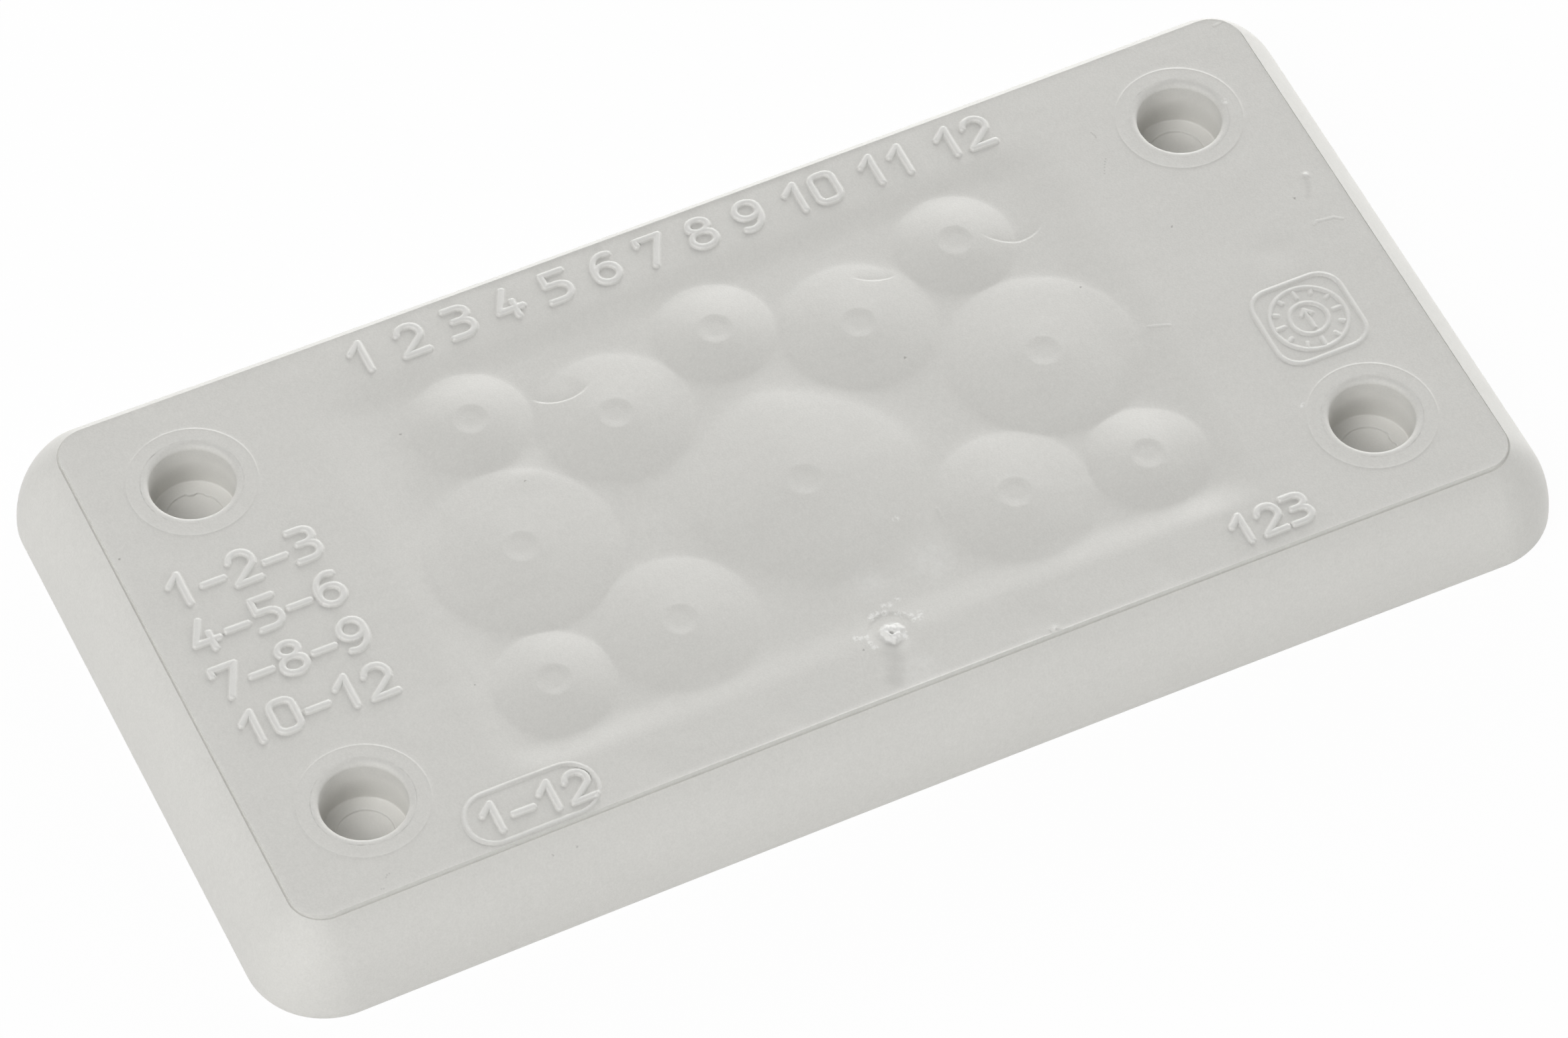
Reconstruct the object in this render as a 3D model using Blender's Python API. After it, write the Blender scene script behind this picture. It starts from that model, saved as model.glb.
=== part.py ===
"""Cable entry plate, one light grey moulding that closes a rectangular cut-out in a panel.

Twelve thin domed membranes stand in a sunken field, each over a round cell that is open below,
and a cable is pushed through the one that fits it. Four counterbored holes near the corners take
the fixing screws. Each is closed by a thin floor that its screw pierces.

The plate lies with its open underside on the plane z = 0, its centre at the origin, its long side
along X. All sizes are in metres.
"""

from math import cos, pi, radians, sin, sqrt

import bmesh
import bpy

MM = 0.001

# Screw pattern of the standard cut-out, which measures 65 mm by 36 mm
SCREW_PITCH_X = 83.0 * MM
SCREW_PITCH_Y = 32.0 * MM

# Outer form
PLATE_HEIGHT = 8.0 * MM
FACE_LENGTH = 99.5 * MM
FACE_WIDTH = 48.2 * MM
FACE_CORNER = 2.5 * MM
FACE_STEP_HEIGHT = 0.2 * MM
FACE_STEP_WIDTH = 0.1 * MM
FLANK_OVERHANG = 3.6 * MM

# Walls
OUTER_WALL = 2.2 * MM
TOP_WALL = 2.0 * MM
FIELD_WALL = 2.0 * MM
CELL_WALL = 0.6 * MM
RIB_WALL = 1.2 * MM
INNER_SETBACK = 0.5 * MM

# Sunken field
FIELD_LENGTH = 60.0 * MM
FIELD_WIDTH = 35.2 * MM
FIELD_CORNER = 4.0 * MM
FIELD_DEPTH = 0.25 * MM
FIELD_SLOPE_WIDTH = 3.0 * MM

# Membranes: the radius of each size of dome, and where the domes of the right half stand
SMALL = 4.7 * MM
MEDIUM = 6.0 * MM
LARGE = 7.5 * MM
LARGEST = 9.0 * MM
DOMES = [
    (SMALL, 0.0 * MM, 12.3 * MM),
    (SMALL, 20.3 * MM, 12.3 * MM),
    (MEDIUM, 10.15 * MM, 8.2 * MM),
    (LARGE, 21.7 * MM, -0.1 * MM),
    (LARGEST, 0.0 * MM, -3.6 * MM),
    (MEDIUM, 13.8 * MM, -11.2 * MM),
    (SMALL, 24.5 * MM, -12.1 * MM),
]
# Every dome rises from a small sloped foot, and the wider ones are more pointed
DOME_FOOT = 0.2 * MM
DOME_SKIRT = 0.5 * MM
DOME_RISE = 0.7 * MM
DOME_CURVES = {SMALL: 2.0, MEDIUM: 1.4, LARGE: 1.3, LARGEST: 1.5}
MEMBRANE_THICKNESS = 0.7 * MM
DIMPLE_RADIUS = 1.5 * MM
DIMPLE_DEPTH = 0.12 * MM

# Screw holes
PAD_RADIUS = 5.03 * MM
PAD_HEIGHT = 0.12 * MM
HEAD_RADIUS = 3.3 * MM
HEAD_DEPTH = 4.3 * MM
MOUTH_ROUND = 0.5 * MM
SHANK_RADIUS = 2.2 * MM
FLOOR_DEPTH = 0.4 * MM
FLOOR_THICKNESS = 0.4 * MM

# Ribs between the outer wall and the field's wall, at each side of the middle
RIB_PLACES = (10.3 * MM, 20.8 * MM)

# Facets: steps of a quarter corner, of the flank and of a dome, and the longest side of a circle
CORNER_STEPS = 6
FLANK_STEPS = 6
DOME_STEPS = 3
FACET = 1.4 * MM
FEWEST_SIDES = 20
SHARP_ANGLE = radians(24)

# Cutters reach this far past the surface they open
PAST = 1.0 * MM
# Joined forms sink this far into each other
BITE = 0.3 * MM

PLASTIC_COLOUR = (0.584, 0.578, 0.552, 1.0)
PLASTIC_ROUGHNESS = 0.62

FLANK_TOP = PLATE_HEIGHT - FACE_STEP_HEIGHT
FIELD_LEVEL = PLATE_HEIGHT - FIELD_DEPTH
CEILING = PLATE_HEIGHT - TOP_WALL
PAD_TOP = PLATE_HEIGHT + PAD_HEIGHT
LEDGE = PAD_TOP - HEAD_DEPTH
FLOOR = LEDGE - FLOOR_DEPTH


def clear_scene():
    for obj in list(bpy.data.objects):
        bpy.data.objects.remove(obj, do_unlink=True)


def sides_of(radius):
    """The number of sides of a circle, even, so that both halves of the plate are alike."""
    return max(FEWEST_SIDES, 2 * round(pi * radius / FACET))


def flank_inset(z):
    """How far the flank stands in from the base at a height. The flank is one arc, upright at
    the base, that reaches the overhang at the top."""
    radius = (FLANK_TOP**2 + FLANK_OVERHANG**2) / (2 * FLANK_OVERHANG)
    return radius - sqrt(radius**2 - z**2)


def rounded_rectangle(length, width, corner, z):
    """The points of a rectangle with round corners, counterclockwise from its right side."""
    corner = max(min(corner, length / 2, width / 2), 0.1 * MM)
    points = []
    for quarter in range(4):
        turn = quarter * pi / 2
        side_x = 1 if quarter in (0, 3) else -1
        side_y = 1 if quarter in (0, 1) else -1
        centre_x = side_x * (length / 2 - corner)
        centre_y = side_y * (width / 2 - corner)
        for step in range(CORNER_STEPS + 1):
            angle = turn + step / CORNER_STEPS * pi / 2
            points.append((centre_x + corner * cos(angle), centre_y + corner * sin(angle), z))
    return points


def base_outline(inset, z):
    """The plate's outline at a distance inwards from its base."""
    length = FACE_LENGTH + 2 * (FACE_STEP_WIDTH + FLANK_OVERHANG - inset)
    width = FACE_WIDTH + 2 * (FACE_STEP_WIDTH + FLANK_OVERHANG - inset)
    corner = FACE_CORNER + FACE_STEP_WIDTH + FLANK_OVERHANG - inset
    return rounded_rectangle(length, width, corner, z)


def field_outline(spread, z):
    """The field's outline, moved outwards by a distance."""
    return rounded_rectangle(
        FIELD_LENGTH + 2 * spread, FIELD_WIDTH + 2 * spread, FIELD_CORNER + spread, z
    )


def mesh_object(name, bm):
    """An object from a mesh in the making, shaded smooth but for its sharp edges."""
    bmesh.ops.recalc_face_normals(bm, faces=bm.faces)
    mesh = bpy.data.meshes.new(name)
    bm.to_mesh(mesh)
    bm.free()
    mesh.shade_smooth()
    mesh.set_sharp_from_angle(angle=SHARP_ANGLE)
    obj = bpy.data.objects.new(name, mesh)
    bpy.context.scene.collection.objects.link(obj)
    return obj


def join_loops(bm, lower, upper):
    count = len(lower)
    for i in range(count):
        j = (i + 1) % count
        bm.faces.new((lower[i], lower[j], upper[j], upper[i]))


def loft(name, outlines):
    """A solid through outlines of as many points each, closed at the first and the last."""
    bm = bmesh.new()
    loops = [[bm.verts.new(point) for point in outline] for outline in outlines]
    for lower, upper in zip(loops, loops[1:]):
        join_loops(bm, lower, upper)
    bm.faces.new(reversed(loops[0]))
    bm.faces.new(loops[-1])
    return mesh_object(name, bm)


def frame(name, inner, outer, bottom, top):
    """An upright wall between two outlines, each a function of a height."""
    bm = bmesh.new()
    rings = [
        [bm.verts.new(point) for point in outline(z)]
        for outline, z in ((inner, bottom), (outer, bottom), (outer, top), (inner, top))
    ]
    for i in range(4):
        join_loops(bm, rings[i], rings[(i + 1) % 4])
    return mesh_object(name, bm)


def turned(name, profile, place):
    """A solid turned about an upright axis from its profile of radii and heights, listed upwards.
    A radius of 0 closes an end in a point, and any other end is flat."""
    sides = sides_of(max(radius for radius, _ in profile))
    bm = bmesh.new()
    loops = []
    for radius, z in profile:
        if radius == 0:
            loops.append([bm.verts.new((0, 0, z))])
            continue
        turns = [2 * pi * (i + 0.5) / sides for i in range(sides)]
        loops.append([bm.verts.new((radius * cos(t), radius * sin(t), z)) for t in turns])
    for lower, upper in zip(loops, loops[1:]):
        if len(lower) == len(upper):
            join_loops(bm, lower, upper)
            continue
        tip, rim = (lower[0], upper) if len(lower) == 1 else (upper[0], lower)
        for i in range(sides):
            bm.faces.new((tip, rim[i], rim[(i + 1) % sides]))
    for loop in (loops[0], loops[-1]):
        if len(loop) > 1:
            bm.faces.new(loop)
    obj = mesh_object(name, bm)
    obj.location = (*place, 0)
    return obj


def dome_places():
    """Radius and centre of every dome: those of the right half, and their mirror images."""
    places = []
    for radius, x, y in DOMES:
        places.append((radius, (x, y)))
        if x > 0:
            places.append((radius, (-x, y)))
    return places


def screw_places():
    return [
        (side_x * SCREW_PITCH_X / 2, side_y * SCREW_PITCH_Y / 2)
        for side_x in (-1, 1)
        for side_y in (-1, 1)
    ]


def dome_height(share, radius):
    """The height of a dome of some radius over the field, at a share of that radius."""
    return DOME_FOOT + DOME_RISE * (1 - share ** DOME_CURVES[radius])


def body():
    """The outer form: a cushion-shaped flank, a small step, and the flat face."""
    levels = [FLANK_TOP * sin(i / FLANK_STEPS * pi / 2) for i in range(FLANK_STEPS + 1)]
    outlines = [base_outline(flank_inset(z), z) for z in levels]
    face_inset = FLANK_OVERHANG + FACE_STEP_WIDTH
    outlines.append(base_outline(face_inset, FLANK_TOP))
    outlines.append(base_outline(face_inset, PLATE_HEIGHT))
    return loft("cable_entry_plate", outlines)


def underside_hollow():
    """The space inside the outer wall, which follows the flank up to the top wall."""
    levels = [CEILING * i / FLANK_STEPS for i in range(FLANK_STEPS + 1)]
    outlines = [base_outline(OUTER_WALL, -PAST)]
    outlines += [base_outline(OUTER_WALL + flank_inset(z), z) for z in levels]
    return loft("underside_hollow", outlines)


def field_recess():
    """The shallow tray that the domes stand in, with sloped sides."""
    slope = FIELD_SLOPE_WIDTH / FIELD_DEPTH
    half = FIELD_SLOPE_WIDTH / 2
    return loft(
        "field_recess",
        [
            field_outline(-half, FIELD_LEVEL),
            field_outline(half, PLATE_HEIGHT),
            field_outline(half + slope * PAST / 4, PLATE_HEIGHT + PAST / 4),
        ],
    )


def field_wall():
    """The wall under the field's edge, which stands on the panel round the cut-out."""
    half = FIELD_WALL / 2
    return frame(
        "field_wall",
        lambda z: field_outline(-half, z),
        lambda z: field_outline(half, z),
        0.0,
        CEILING + BITE,
    )


def rib_side(x, side_y):
    """One face of a rib, from the field's wall along the ceiling and down the outer wall."""
    inner = FIELD_WIDTH / 2
    outer = FACE_WIDTH / 2 + FACE_STEP_WIDTH + FLANK_OVERHANG - OUTER_WALL + BITE
    top = CEILING + BITE
    points = [(x, side_y * inner, INNER_SETBACK), (x, side_y * inner, top)]
    for i in range(FLANK_STEPS + 1):
        z = top + (INNER_SETBACK - top) * i / FLANK_STEPS
        points.append((x, side_y * (outer - flank_inset(z)), z))
    return points


def ribs():
    """Ribs from the outer wall to the field's wall, on both long sides."""
    made = []
    for x in RIB_PLACES:
        for side_x in (-1, 1):
            for side_y in (-1, 1):
                faces = [rib_side(side_x * x + half, side_y) for half in (-RIB_WALL / 2, RIB_WALL / 2)]
                made.append(loft("rib", faces))
    return made


def cell_tube(radius, place):
    """The wall of a membrane's cell, which is as wide as the dome."""
    return turned("cell_tube", [(radius, INNER_SETBACK), (radius, CEILING + BITE)], place)


def dome(radius, place):
    """A membrane's outer form, with the dimple that marks its middle."""
    rim = DIMPLE_RADIUS / radius
    shares = [1 - (1 - rim) * i / DOME_STEPS for i in range(DOME_STEPS + 1)]
    profile = [(radius + DOME_SKIRT, FIELD_LEVEL - BITE)]
    profile += [(radius * share, FIELD_LEVEL + dome_height(share, radius)) for share in shares]
    bottom = FIELD_LEVEL + dome_height(rim, radius) - DIMPLE_DEPTH
    profile += [(DIMPLE_RADIUS * 0.6, bottom + 0.1 * DIMPLE_DEPTH), (0, bottom)]
    return turned("dome", profile, place)


def cell_bore(radius, place):
    """The hollow under a membrane, domed like it and open below."""
    bore = radius - CELL_WALL
    under = FIELD_LEVEL - MEMBRANE_THICKNESS
    shares = [bore / radius, 0.6, 0]
    profile = [(bore, -PAST)]
    profile += [(radius * share, under + dome_height(share, radius)) for share in shares]
    return turned("cell_bore", profile, place)


def screw_pad(place):
    """The thin raised disc round a screw hole."""
    return turned("screw_pad", [(PAD_RADIUS, CEILING), (PAD_RADIUS, PAD_TOP)], place)


def screw_boss(place):
    """The column that carries a screw hole down to the panel."""
    return turned("screw_boss", [(PAD_RADIUS, 0.0), (PAD_RADIUS, CEILING + BITE)], place)


def head_recess(place):
    """The counterbore for a screw's head, with a rounded mouth, and the blind hole below it."""
    mouth = [30, 60, 90]
    profile = [(SHANK_RADIUS, FLOOR), (SHANK_RADIUS, LEDGE), (HEAD_RADIUS, LEDGE)]
    profile.append((HEAD_RADIUS, PAD_TOP - MOUTH_ROUND))
    for degrees in mouth:
        turn = radians(degrees)
        radius = HEAD_RADIUS + MOUTH_ROUND * (1 - cos(turn))
        profile.append((radius, PAD_TOP - MOUTH_ROUND * (1 - sin(turn))))
    profile.append((HEAD_RADIUS + MOUTH_ROUND, PAD_TOP + PAST))
    return turned("head_recess", profile, place)


def shank_hole(place):
    """The screw's hole from below, which stops under the thin floor."""
    return turned("shank_hole", [(SHANK_RADIUS, -PAST), (SHANK_RADIUS, FLOOR - FLOOR_THICKNESS)], place)


def change(plate, name, operation, tools):
    """Joins helper solids to the plate or cuts them out of it, and puts them out of sight."""
    group = bpy.data.collections.new(name)
    bpy.context.scene.collection.children.link(group)
    for tool in tools:
        bpy.context.scene.collection.objects.unlink(tool)
        group.objects.link(tool)
        tool.hide_render = True
        tool.display_type = "WIRE"
    modifier = plate.modifiers.new(name, "BOOLEAN")
    modifier.operation = operation
    modifier.solver = "EXACT"
    modifier.operand_type = "COLLECTION"
    modifier.collection = group


def plastic():
    """Matte light grey plastic."""
    material = bpy.data.materials.new("light_grey_plastic")
    material.use_nodes = True
    shader = material.node_tree.nodes["Principled BSDF"]
    shader.inputs["Base Color"].default_value = PLASTIC_COLOUR
    shader.inputs["Roughness"].default_value = PLASTIC_ROUGHNESS
    shader.inputs["Metallic"].default_value = 0.0
    material.diffuse_color = PLASTIC_COLOUR
    return material


def cable_entry_plate():
    plate = body()
    plate.data.materials.append(plastic())
    domes = dome_places()
    screws = screw_places()
    change(plate, "hollow", "DIFFERENCE", [underside_hollow(), field_recess()])
    added = [field_wall()] + ribs()
    added += [cell_tube(radius, place) for radius, place in domes]
    added += [dome(radius, place) for radius, place in domes]
    added += [screw_boss(place) for place in screws]
    added += [screw_pad(place) for place in screws]
    change(plate, "added", "UNION", added)
    holes = [cell_bore(radius, place) for radius, place in domes]
    holes += [head_recess(place) for place in screws]
    holes += [shank_hole(place) for place in screws]
    change(plate, "holes", "DIFFERENCE", holes)
    return plate


clear_scene()
cable_entry_plate()
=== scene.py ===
"""Looks of the cable entry plate: one light grey moulding that lies on a white table.

Sizes are in millimetres in the frame's own axes until a mesh is made from them. Heights count from
the plane of the open underside, x runs along the plate's long side and y away from the camera.
"""

from math import ceil, cos, hypot, pi, radians, sin, sqrt

import bmesh
import bpy
import numpy as np
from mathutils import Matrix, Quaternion, Vector
from mathutils.geometry import delaunay_2d_cdt
from mathutils.kdtree import KDTree


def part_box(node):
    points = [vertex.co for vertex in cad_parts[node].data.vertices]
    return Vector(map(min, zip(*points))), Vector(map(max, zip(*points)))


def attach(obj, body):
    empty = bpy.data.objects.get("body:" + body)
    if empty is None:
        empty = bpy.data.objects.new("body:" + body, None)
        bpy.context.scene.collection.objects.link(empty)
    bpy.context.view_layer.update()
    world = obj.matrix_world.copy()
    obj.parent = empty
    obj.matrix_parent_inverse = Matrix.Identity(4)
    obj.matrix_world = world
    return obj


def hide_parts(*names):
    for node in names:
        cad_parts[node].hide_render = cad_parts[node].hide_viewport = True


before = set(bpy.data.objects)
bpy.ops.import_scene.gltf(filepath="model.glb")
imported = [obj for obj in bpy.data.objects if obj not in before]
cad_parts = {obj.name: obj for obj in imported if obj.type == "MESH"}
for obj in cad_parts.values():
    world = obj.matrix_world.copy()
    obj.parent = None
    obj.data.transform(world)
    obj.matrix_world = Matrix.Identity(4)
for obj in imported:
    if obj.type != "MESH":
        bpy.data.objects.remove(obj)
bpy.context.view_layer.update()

MM = 0.001
NODE = "cable_entry_plate"
BASE_HALF_X, BASE_HALF_Y = (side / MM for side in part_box(NODE)[1][:2])

# Outer form
BASE_CORNER = 6.2
BASE_ROUND = 0.15
FACE_LEVEL = 8.0
STEP_LEVEL = 7.8
STEP_WIDTH = 0.1
STEP_LEAN = 0.01
FLANK_OVERHANG = 3.6

# Groove at the foot of the step: how far it takes the flank down, its own depth, and the places of
# its bottom as shares of the way from the flank to the step
GROOVE_SINK = 0.08
GROOVE_DEPTH = 0.04
GROOVE_BOTTOM = (0.4, 0.8)

# The long sides are drawn in: most at x = 0, not at all from BOW_HALF_X on, and only what lies
# beyond BOW_START from the long axis
EDGE_BOW = 0.22
BOW_HALF_X = 47.0
BOW_START = 21.5

# Lip along the face's edge: highest at x = 0, and down to its least share LIP_HALF_X away
LIP_RISE = 0.065
LIP_WIDTH = 0.21
LIP_LEAST = 0.3
LIP_HALF_X = 26.0

# Sunken field, which fades out to all sides, and the outline of the wall under its edge
WALL_HALF_X = 30.0
WALL_HALF_Y = 17.6
WALL_CORNER = 4.0
FIELD_HALF_X = 28.9
FIELD_HALF_Y = 17.8
FIELD_DEPTH = 0.25
FIELD_SLOPE_X = 5.6
FIELD_SLOPE_Y = 3.4
CORNER_DEPTH = 0.34

# Domes of the right half: radius and place
RIGHT_DOMES = [
    (4.7, 0.0, 12.3),
    (4.7, 20.3, 12.3),
    (6.0, 10.15, 8.2),
    (7.5, 21.7, -0.1),
    (9.0, 0.0, -3.6),
    (6.0, 13.8, -11.2),
    (4.7, 24.5, -12.1),
]
# How a dome of each radius shares out its rise: straight cone, round crown, steep rim
DOME_SHARES = {
    4.7: (0.2, 0.8, 0.0),
    6.0: (0.57, 0.37, 0.06),
    7.5: (0.65, 0.22, 0.13),
    9.0: (0.43, 0.46, 0.11),
}
# Height of the small slope at the foot of a dome of each radius, and the distance it dies away in
DOME_FEET = {4.7: (0.07, 0.22), 6.0: (0.09, 0.35), 7.5: (0.07, 0.28), 9.0: (0.2, 1.0)}
DOME_RISE = 0.69
DOME_BLEND = 0.13
DOME_SHRINK = 0.08
# The widest dome is drawn in a little at its diagonals: a power of 2 would make it a circle
WIDEST_DOME = 9.0
WIDEST_POWER = 1.65
DIMPLE_RADIUS = 1.5
DIMPLE_EDGE = 0.7
DIMPLE_DEPTH = 0.05

# Screw holes
SCREW_X = 41.5
SCREW_Y = 16.0
PAD_RADIUS = 5.03
PAD_EDGE = 0.12
PAD_RISE = 0.035
PAD_RIM = 0.018
HEAD_RADIUS = 3.3
HEAD_DEPTH = 4.3
SHANK_RADIUS = 2.2
FLOOR_DEPTH = 0.22
FLOOR_THICKNESS = 0.4
LEDGE_FILLET = 0.15
SHANK_FILLET = 0.08
# The round of a hole's mouth: its most, its least, its height as a share of its width, and the
# bearing where it is widest
MOUTH_ROUND = 0.6
LEAST_ROUND = 0.42
MOUTH_DROP = 0.8
ROUNDEST = radians(50)
# Ragged flash on the small holes: the hole's sides in x and y, then bearing and half angle in
# degrees and reach inwards. It stays within FLASH_EDGE of the small hole's rim.
FLASHES = [
    (-1, 1, 75, 12, 0.17),
    (-1, 1, 42, 8, 0.08),
    (1, -1, 5, 16, 0.2),
    (1, -1, -40, 10, 0.1),
]
FLASH_EDGE = 0.2

# Underside
OUTER_WALL = 2.2
CEILING = 6.0
FIELD_WALL = 2.0
CELL_WALL = 0.6
RIB_WALL = 1.2
RIB_PLACES = (10.3, 20.8)
INNER_SETBACK = 0.5
MEMBRANE_THICKNESS = 0.7
# The domed top of a cell: the share of the dome's radius that is flat, and the levels of its curve
CELL_TOP = 0.08
CELL_STEPS = 8
# How far a wall reaches into what it joins, and a cutter past what it cuts
BITE = 0.3
PAST = 1.0

# Raised marks
DIGIT_WIDTH = 1.9
DIGIT_HEIGHT = 2.8
DIGIT_STROKE = 0.3
DIGIT_RISE = 0.22
LINE_STROKE = 0.19
LINE_RISE = 0.11
DIAL_X, DIAL_Y = 41.5, -5.7
DIAL_RINGS = (3.0, 1.5)
LONG_TICK, SHORT_TICK, TICK_END = 2.1, 2.4, 2.7
POINTER = 0.9
BARB_HALF, BARB_START = 0.45, 0.4

# Gate, where the plastic was let in: a torn stub in a shallow round seat
GATE_X, GATE_Y = 0.0, -18.7
GATE_REACH = 3.0
SEAT_RADIUS = 1.95
SEAT_DEPTH = 0.1
# Width of the seat's slope on its far side, how it grows towards the camera, and its outer part
SEAT_SLOPE = 0.25
SEAT_SLOPE_GROWTH = 0.45
SEAT_OUTER = 0.1
STUB_RADIUS = 0.95
STUB_RISE = 0.3
# Waves in the stub's outline: share of its radius, how many go round, and where each starts
STUB_WAVES = [(0.12, 3, 0.6), (0.08, 7, 2)]
STUB_TOP = 0.6
TEARS = 0.2
PIT_DEPTH = 0.22
PIT_X, PIT_Y = -0.1, -0.1
PIT_EDGE = (0.03, 0.3)

# Sink marks (dips), swellings and one pimple: place, half sizes and rise
SWELLINGS = [
    (-10.3, -22.2, 1.1, 1.5, -0.075),
    (10.3, -22.2, 1.1, 1.5, -0.06),
    (-20.8, -22.2, 1.1, 1.5, -0.06),
    (20.8, -22.2, 1.1, 1.5, -0.075),
    (10.8, -23.7, 0.35, 0.15, 0.08),
    (-31.3, 21.9, 1.3, 0.7, 0.03),
    (31.3, 21.9, 1.3, 0.7, 0.03),
    (-42.0, 22.3, 2.0, 0.7, 0.02),
    (42.0, 22.3, 2.0, 0.7, 0.02),
    (42.0, 1.3, 1.6, 1.1, -0.07),
    (-18.6, 6.2, 2.2, 1.4, 0.12),
]
PIMPLE = (47.75, 6.8, 0.24, 0.24, 0.13)

# Creases where the plastic flowed together on the domes: arcs as centre, radius, bearings in degrees,
# then how deep each one is and how far inside the arc it fades out
CREASES = [
    (-12.6, 14.2, 3.25, 208, 312, 0.15, 1.3),
    (14.3, 14.9, 3.65, 218, 284, 0.09, 0.5),
    (25.2, 13.85, 3.45, 206, 320, 0.1, 0.55),
]
CREASE_EDGE = 0.25
CREASE_FADE = 0.3

# Waves of the face: height, how fast each one turns along x and along y, and where it starts
WAVES = [
    (0.010, 0.41, 0.22, 0.7),
    (0.008, -0.18, 0.63, 2.1),
    (0.006, 0.97, -0.71, 4.0),
]
# Where the waves start and are full, from the face's edge, and how far from the pads they are full
WAVES_FROM_EDGE = (0.3, 2.0)
WAVES_FROM_PAD = 2.0

# Scratches, each as the points of a line
SCRATCHES = [
    [(30.1, -1.2), (31.6, -1.8)],
    [(46.1, 2.2), (46.4, 2.4), (47.8, 2.2), (48.3, 1.8)],
    [(48.2, 23.15), (48.6, 23.2), (49.1, 23.3)],
    [(8.0, -9.8), (7.95, -11.2)],
    [(0.1, -19.5), (0.9, -19.1)],
]
SCRATCH_HALF = 0.13
SCRATCH_RISE = 0.022

# Distances between points of the face
COARSE = 0.9
FINE = 0.45
EDGE_SPACING = 1.2
STROKE_SPACING = 0.16
GATE_SPACING = 0.13
RING_SPACING = 0.36
CLOSEST = 0.08
# The finer mesh reaches this far beyond the field's wall
FINE_REACH = 2.4
# Lines of points along strokes, as shares of their half width: round their ends too, and along
# their sides only. One more line runs STROKE_MARGIN outside them. A point may miss its share by
# GUIDE_SLACK.
ROUND_GUIDES = (1.02, 0.84, 0.66, 0.48)
SIDE_GUIDES = (0.28, 0.0)
STROKE_MARGIN = 0.1
GUIDE_SLACK = 0.04
# Free room round the mouths of the holes and along the face's edge, for their own points
MOUTH_CLEAR = 0.1
EDGE_CLEAR = 0.8
MOUTH_RING = 0.35

# Steps of round forms
HOLE_SIDES = 144
UNDERSIDE_SIDES = 72
RING_SIDES = 48
LEAST_SIDES = 10
CORNER_STEPS = 20
FLANK_STEPS = 20
STEP_STEPS = 3
MOUTH_STEPS = 10
FILLET_STEPS = 4
# Edges sharper than this angle stay sharp. The face's slope is taken over a gap to both sides.
SHARP_ANGLE = radians(38)
NORMAL_GAP = 0.02
# Tolerances of a level, of a mouth's radius and of the face's plan, and the distance in metres
# within which corners are joined
SLACK = 0.001
MOUTH_SLACK = 0.02
PLAN_SLACK = 1e-5
WELD = 1e-6

# Camera, with the farthest distance that it sees in metres
CAMERA_PLACE = (-159.94, -328.99, 493.585)
CAMERA_AIM = (-2.839, -5.915, 8.0)
CAMERA_ROLL = radians(0.6565)
CAMERA_LENS = 185.741
SENSOR_WIDTH = 36.0
FARTHEST_SEEN = 10.0

# Table and lamps, in metres
TABLE_HALF = 2.0
LAMP_SIZE = 0.6
# Levels of light: of the even light, and of each lamp after its bearing from the camera's side and
# its height in degrees
WORLD_LEVEL = 0.02
LAMPS = {
    "back_lamp": (180, 10, 1.08),
    "back_right_lamp": (135, 10, 0.6),
    "front_right_lamp": (45, 10, 0.37),
    "front_lamp": (0, 10, 0.2),
    "high_front_lamp": (0, 60, 0.08),
    "left_lamp": (270, 10, 0.29),
    "upper_left_lamp": (315, 60, 0.36),
    "front_left_lamp": (315, 35, 0.26),
}

# Corners of a rectangle as their sides in x and y, counterclockwise
QUARTERS = ((1, 1), (-1, 1), (-1, -1), (1, -1))

LIP_TOP = FACE_LEVEL + LIP_RISE
PAD_TOP = FACE_LEVEL + PAD_RISE
LEDGE = PAD_TOP - HEAD_DEPTH
SCREW_FLOOR = LEDGE - FLOOR_DEPTH
FIELD_LEVEL = FACE_LEVEL - FIELD_DEPTH
MOUTH_RADIUS = HEAD_RADIUS + MOUTH_ROUND
FACE_INSET = FLANK_OVERHANG + STEP_WIDTH
WALL_TOP = CEILING + BITE
SCREWS = [(side_x * SCREW_X, side_y * SCREW_Y) for side_x in (-1, 1) for side_y in (-1, 1)]
DOMES = RIGHT_DOMES + [(radius, -x, y) for radius, x, y in RIGHT_DOMES if x > 0]


# Plane figures


def smooth_step(low, high, value):
    """0 up to low, 1 from high, and smooth between them."""
    share = np.clip((value - low) / (high - low), 0.0, 1.0)
    return share * share * (3 - 2 * share)


def soft_maximum(one, other, blend):
    """The larger of two heights, rounded where they are nearly equal and above 0."""
    larger = np.maximum(one, other)
    # Close to 0 the blend gets as small as the height, but stays above 0 for the division.
    blend = np.clip(larger, 1e-6, blend)
    near = np.clip(blend - np.abs(one - other), 0.0, None) / blend
    return larger + near * near * blend / 4


def outside_rectangle(x, y, half_x, half_y, corner):
    """Distance outwards from a rectangle with round corners."""
    over_x = np.abs(x) - (half_x - corner)
    over_y = np.abs(y) - (half_y - corner)
    past = np.hypot(np.maximum(over_x, 0), np.maximum(over_y, 0))
    return past + np.minimum(np.maximum(over_x, over_y), 0) - corner


def around(centre_x, centre_y, reach, turns):
    """Points at some angles round a centre, at one reach or at one for each."""
    return np.column_stack([centre_x + reach * np.cos(turns), centre_y + reach * np.sin(turns)])


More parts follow.
